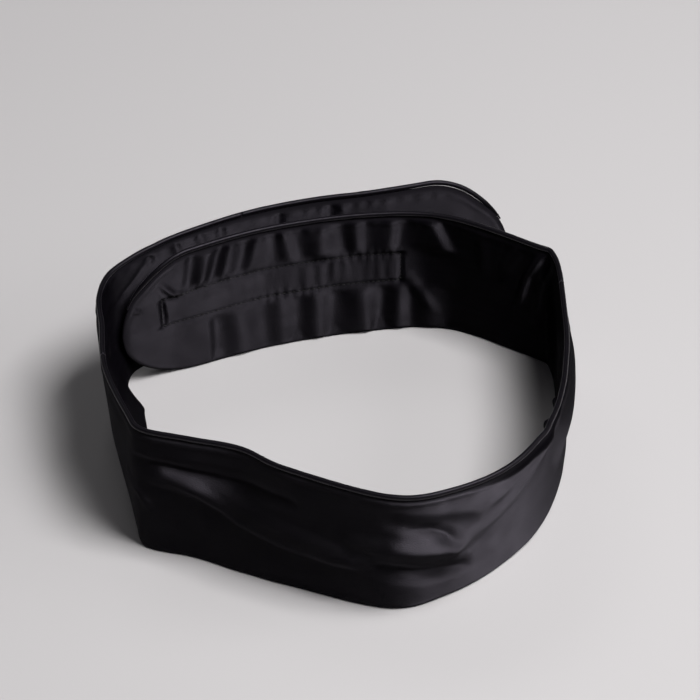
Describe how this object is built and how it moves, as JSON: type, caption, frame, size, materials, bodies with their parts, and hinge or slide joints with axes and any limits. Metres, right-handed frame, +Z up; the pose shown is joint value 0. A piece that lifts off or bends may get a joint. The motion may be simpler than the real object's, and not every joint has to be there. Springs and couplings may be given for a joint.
{
  "type": "blindfold",
  "caption": "Padded black satin blindfold: a wide band with a piped top edge, closed into a loop by overlapping straps with hook and loop tape and a free rounded pull tab.",
  "frame": {"origin": "middle of the closed band's box, on the floor it stands on", "axes": "+Z up, the brow faces -Y, the closure faces +Y, the over strap comes round from -X"},
  "size_m": [0.201, 0.182, 0.0734],
  "materials": {
    "satin": "black satin, soft sheen",
    "lining": "black satin, soft sheen",
    "padding": "matt wadding",
    "cord": "matt twisted cotton",
    "tape": "matt nylon pile and hooks",
    "thread": "matt polyester thread"
  },
  "bodies": {
    "mask": {"mask_face": "satin", "mask_lining": "lining", "mask_padding": "padding", "mask_piping": "satin", "mask_piping_cord": "cord"},
    "side": {"side_face": "satin", "side_lining": "lining", "side_padding": "padding", "side_piping": "satin", "side_piping_cord": "cord"},
    "strap": {"strap_face": "satin", "strap_lining": "lining", "strap_padding": "padding", "strap_piping": "satin", "strap_piping_cord": "cord", "hook_tape": "tape", "hook_tape_stitching": "thread"},
    "tab": {"tab_face": "satin", "tab_lining": "lining", "tab_padding": "padding", "tab_piping": "satin", "tab_piping_cord": "cord"},
    "under": {"under_face": "satin", "under_lining": "lining", "under_padding": "padding", "under_piping": "satin", "under_piping_cord": "cord", "loop_tape": "tape", "loop_tape_stitching": "thread"}
  },
  "joints": [
    {"name": "side_fold", "type": "hinge", "parent": "mask", "child": "side", "pos_m": [-0.0967, -0.0207, 0.035], "axis": [0, 0, 1], "range_deg": [0, 90]},
    {"name": "strap_peel", "type": "hinge", "parent": "side", "child": "strap", "pos_m": [-0.0698, 0.0817, 0.0385], "axis": [0, 0, 1], "range_deg": [0, 80]},
    {"name": "tab_lift", "type": "hinge", "parent": "strap", "child": "tab", "pos_m": [0.0523, 0.0898, 0.0385], "axis": [0, 0, 1], "range_deg": [0, 60]},
    {"name": "under_fold", "type": "hinge", "parent": "mask", "child": "under", "pos_m": [0.0954, 0.0355, 0.035], "axis": [0, 0, 1], "range_deg": [0, 20]}
  ]
}
